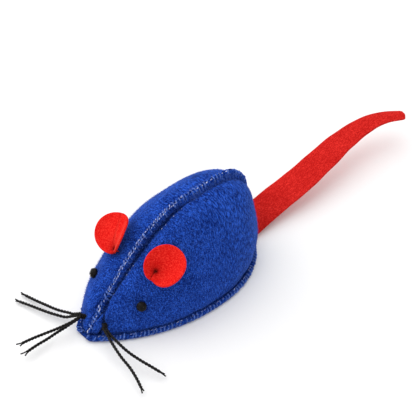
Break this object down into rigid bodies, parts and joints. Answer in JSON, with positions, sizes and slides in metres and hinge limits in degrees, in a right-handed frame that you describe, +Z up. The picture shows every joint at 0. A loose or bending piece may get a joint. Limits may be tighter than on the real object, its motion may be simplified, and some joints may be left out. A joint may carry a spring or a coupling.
{
  "type": "catnip mouse",
  "caption": "Stuffed felt mouse for a cat: teardrop body with sewn ridge and base seams, cupped felt ears, knotted thread eyes, thread whiskers and a flat felt tail.",
  "frame": {"origin": "on the floor, in the middle of the flat underside of the base panel", "axes": "+Z up, the nose points along -Y, the tail along +Y, and the mouse's left side is +X"},
  "size_m": [0.0799, 0.2277, 0.0481],
  "materials": {
    "blue_felt": "napped wool felt",
    "red_felt": "napped wool felt",
    "blue_thread": "polyester thread",
    "red_thread": "polyester thread",
    "black_thread": "waxed thread",
    "fibre": "loose polyester fibre",
    "catnip": "dried leaf"
  },
  "bodies": {
    "body": {"base_panel": "blue_felt", "side_panel_left": "blue_felt", "side_panel_right": "blue_felt", "stuffing": "fibre", "catnip_filling": "catnip", "ridge_overlock": "blue_thread", "base_overlock": "blue_thread", "eye_left": "black_thread", "eye_right": "black_thread", "eye_thread": "black_thread", "ear_tack_left": "red_thread", "ear_tack_right": "red_thread", "whisker_knot_left": "black_thread", "whisker_knot_right": "black_thread", "whisker_cross_thread": "black_thread", "whisker_left_1": "black_thread", "whisker_left_2": "black_thread", "whisker_right_1": "black_thread", "whisker_right_2": "black_thread", "whisker_right_3": "black_thread", "whisker_right_4": "black_thread", "tail_tab": "red_felt", "tail_tack": "red_thread"},
    "ear_left": {"ear_left": "red_felt"},
    "ear_right": {"ear_right": "red_felt"},
    "tail": {"tail": "red_felt"}
  },
  "joints": [
    {"name": "ear_left_bend", "type": "hinge", "parent": "body", "child": "ear_left", "pos_m": [0.01405, -0.02074, 0.02882], "axis": [-0.7978, 0.3609, 0.4829], "range_deg": [-30, 6], "stiffness_Nm_per_rad": 0.0001},
    {"name": "ear_right_bend", "type": "hinge", "parent": "body", "child": "ear_right", "pos_m": [-0.00626, -0.0222, 0.0293], "axis": [-0.7978, -0.3609, -0.4829], "range_deg": [-30, 6], "stiffness_Nm_per_rad": 0.0001},
    {"name": "tail_bend", "type": "hinge", "parent": "body", "child": "tail", "pos_m": [0.0032, 0.0503, 0.0018], "axis": [1, 0, 0], "range_deg": [-6, 40], "stiffness_Nm_per_rad": 0.002}
  ]
}
